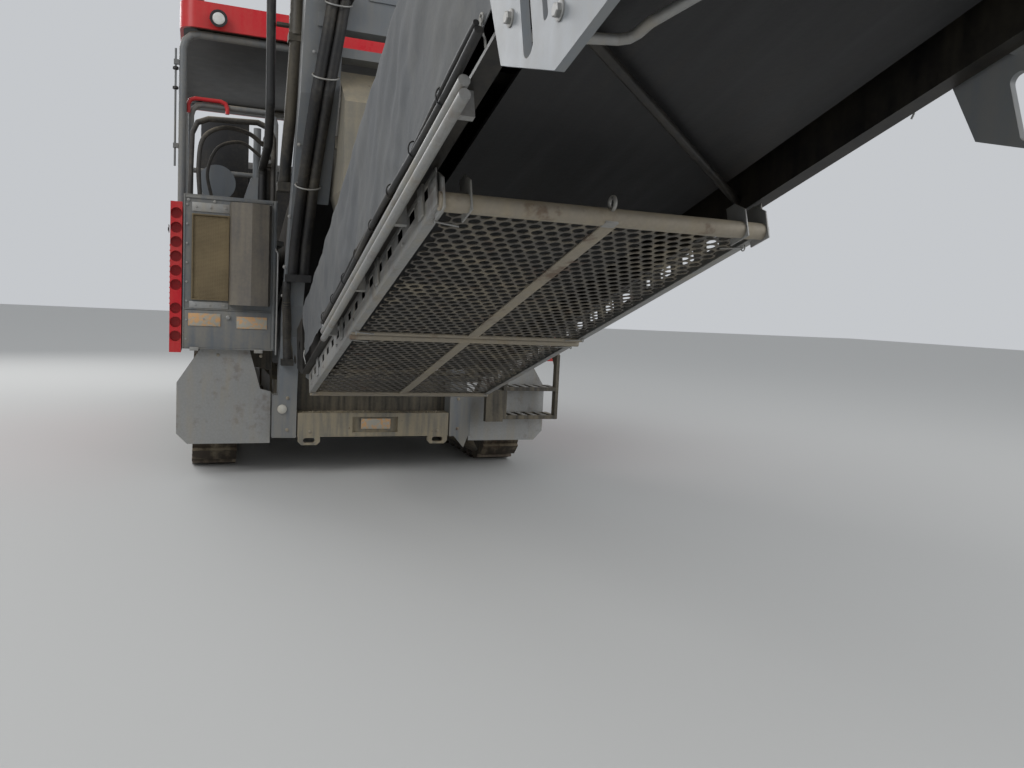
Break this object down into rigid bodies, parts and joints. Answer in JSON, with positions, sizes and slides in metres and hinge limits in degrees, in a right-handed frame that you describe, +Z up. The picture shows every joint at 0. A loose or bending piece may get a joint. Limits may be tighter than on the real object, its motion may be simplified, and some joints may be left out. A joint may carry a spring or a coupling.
{
  "type": "tracked material transfer vehicle",
  "caption": "Tracked material transfer vehicle with a front hopper, an operator's platform under a roof and a slewing, luffing discharge conveyor.",
  "frame": {"origin": "on the ground under the middle of the machine's overall box", "axes": "+X forward, towards the hopper; +Y the machine's left; +Z up"},
  "size_m": [15.0389, 3.02, 3.7285],
  "materials": {
    "red_paint": "gloss",
    "grey_paint": "satin",
    "dark_paint": "satin",
    "dusty_beam": "matte, dusty",
    "galvanised": "dull",
    "radiator": "dusty",
    "belt_rubber": "matte",
    "track_steel": "worn",
    "tarpaulin": "streaked with dust",
    "rod_chrome": "polished",
    "black_plastic": "matte",
    "seat_cover": "matte",
    "lamp_lens": "clear"
  },
  "bodies": {
    "root": {"track_left": "track_steel", "track_right": "track_steel", "track_frames": "dark_paint", "chassis_frame": "dark_paint", "front_beam": "dark_paint", "outriggers": "dark_paint", "rear_beam": "dusty_beam", "gantry": "grey_paint", "main_conveyor_frame": "dark_paint", "main_conveyor_belt": "belt_rubber", "transfer_chute": "dusty_beam", "body_left": "grey_paint", "body_right": "grey_paint", "radiator_grille": "radiator", "air_duct": "radiator", "side_panels": "red_paint", "engine_block": "dark_paint", "mudflaps": "galvanised", "ladder": "dark_paint", "platform_floor": "grey_paint", "seats": "seat_cover", "console": "black_plastic", "guard_rails": "grey_paint", "canopy_frame": "grey_paint", "canopy_roof": "red_paint", "roof_lining": "black_plastic", "lamps": "lamp_lens", "air_intake": "black_plastic", "hopper_tub": "dusty_beam", "mast_hoses": "belt_rubber", "mast_cylinder": "dark_paint", "tower_pipes": "galvanised", "grab_bar": "red_paint"},
    "side_door_left": {"side_door_left": "red_paint"},
    "side_door_right": {"side_door_right": "red_paint"},
    "wing_left": {"wing_left": "grey_paint"},
    "wing_right": {"wing_right": "grey_paint"},
    "wing_barrel_left": {"wing_barrel_left": "grey_paint"},
    "wing_rod_left": {"wing_rod_left": "rod_chrome"},
    "wing_barrel_right": {"wing_barrel_right": "grey_paint"},
    "wing_rod_right": {"wing_rod_right": "rod_chrome"},
    "front_flap": {"front_flap": "grey_paint"},
    "push_beam": {"push_beam": "dark_paint"},
    "push_roller_left": {"push_roller_left": "track_steel"},
    "push_roller_right": {"push_roller_right": "track_steel"},
    "slew": {"slewing_cradle": "grey_paint", "slewing_head": "grey_paint"},
    "boom": {"boom_frame": "dark_paint", "boom_belt": "belt_rubber", "belt_guard": "galvanised", "boom_cover": "tarpaulin", "suspension_brackets": "grey_paint", "boom_lines": "galvanised", "tip_hood": "grey_paint"},
    "luff_barrels": {"luff_barrels": "grey_paint"},
    "luff_rods": {"luff_rods": "rod_chrome"}
  },
  "joints": [
    {"name": "slew", "type": "hinge", "parent": "root", "child": "slew", "pos_m": [0.56952, 0, 1.03], "axis": [0, 0, -1], "range_deg": [-55, 55]},
    {"name": "luff", "type": "hinge", "parent": "slew", "child": "boom", "pos_m": [0.56952, 0, 1.03], "axis": [0, 1, 0], "range_deg": [-8, 8]},
    {"name": "luff_barrel_swing", "type": "hinge", "parent": "slew", "child": "luff_barrels", "pos_m": [0.44952, 0, 3.6], "axis": [0, 1, 0], "range_deg": [-7.4, 7.4]},
    {"name": "luff_rod_slide", "type": "slide", "parent": "luff_barrels", "child": "luff_rods", "axis": [-0.971, 0, -0.239], "range_m": [-0.37, 0.37]},
    {"name": "side_door_left", "type": "hinge", "parent": "root", "child": "side_door_left", "pos_m": [3.14452, 1.5, 1.45], "axis": [0, 0, -1], "range_deg": [0, 100]},
    {"name": "side_door_right", "type": "hinge", "parent": "root", "child": "side_door_right", "pos_m": [3.14452, -1.5, 1.45], "axis": [0, 0, 1], "range_deg": [0, 100]},
    {"name": "wing_left", "type": "hinge", "parent": "root", "child": "wing_left", "pos_m": [6.03952, 0.8, 0.8], "axis": [-1, 0, 0], "range_deg": [0, 38]},
    {"name": "wing_right", "type": "hinge", "parent": "root", "child": "wing_right", "pos_m": [6.03952, -0.8, 0.8], "axis": [1, 0, 0], "range_deg": [0, 38]},
    {"name": "wing_barrel_left_swing", "type": "hinge", "parent": "root", "child": "wing_barrel_left", "pos_m": [6.08952, 0.95, 0.34], "axis": [-1, 0, 0], "range_deg": [-1, 14.98]},
    {"name": "wing_barrel_right_swing", "type": "hinge", "parent": "root", "child": "wing_barrel_right", "pos_m": [6.08952, -0.95, 0.34], "axis": [1, 0, 0], "range_deg": [-1, 14.98]},
    {"name": "wing_rod_left_slide", "type": "slide", "parent": "wing_barrel_left", "child": "wing_rod_left", "axis": [0, 0.1531, 0.9882], "range_m": [-0.19, 0.005]},
    {"name": "wing_rod_right_slide", "type": "slide", "parent": "wing_barrel_right", "child": "wing_rod_right", "axis": [0, -0.1531, 0.9882], "range_m": [-0.19, 0.005]},
    {"name": "front_flap", "type": "hinge", "parent": "root", "child": "front_flap", "pos_m": [7.03152, 0, 0.6368], "axis": [0, 1, 0], "range_deg": [0, 60]},
    {"name": "push_beam_swivel", "type": "hinge", "parent": "root", "child": "push_beam", "pos_m": [7.18952, 0, 0.565], "axis": [0, 0, 1], "range_deg": [-5, 5]},
    {"name": "push_roller_left_spin", "type": "hinge", "parent": "push_beam", "child": "push_roller_left", "pos_m": [7.40952, 0.515, 0.52], "axis": [0, 1, 0], "continuous": true},
    {"name": "push_roller_right_spin", "type": "hinge", "parent": "push_beam", "child": "push_roller_right", "pos_m": [7.40952, -0.515, 0.52], "axis": [0, 1, 0], "continuous": true}
  ],
  "couplings": [
    {"joint": "luff_barrel_swing", "follows": "luff", "ratio": 0.88168},
    {"joint": "luff_rod_slide", "follows": "luff", "m_per_rad": -2.5186},
    {"joint": "wing_barrel_left_swing", "follows": "wing_left", "ratio": 0.368},
    {"joint": "wing_barrel_right_swing", "follows": "wing_right", "ratio": 0.368},
    {"joint": "wing_rod_left_slide", "follows": "wing_left", "m_per_rad": -0.27058},
    {"joint": "wing_rod_right_slide", "follows": "wing_right", "m_per_rad": -0.27058}
  ]
}
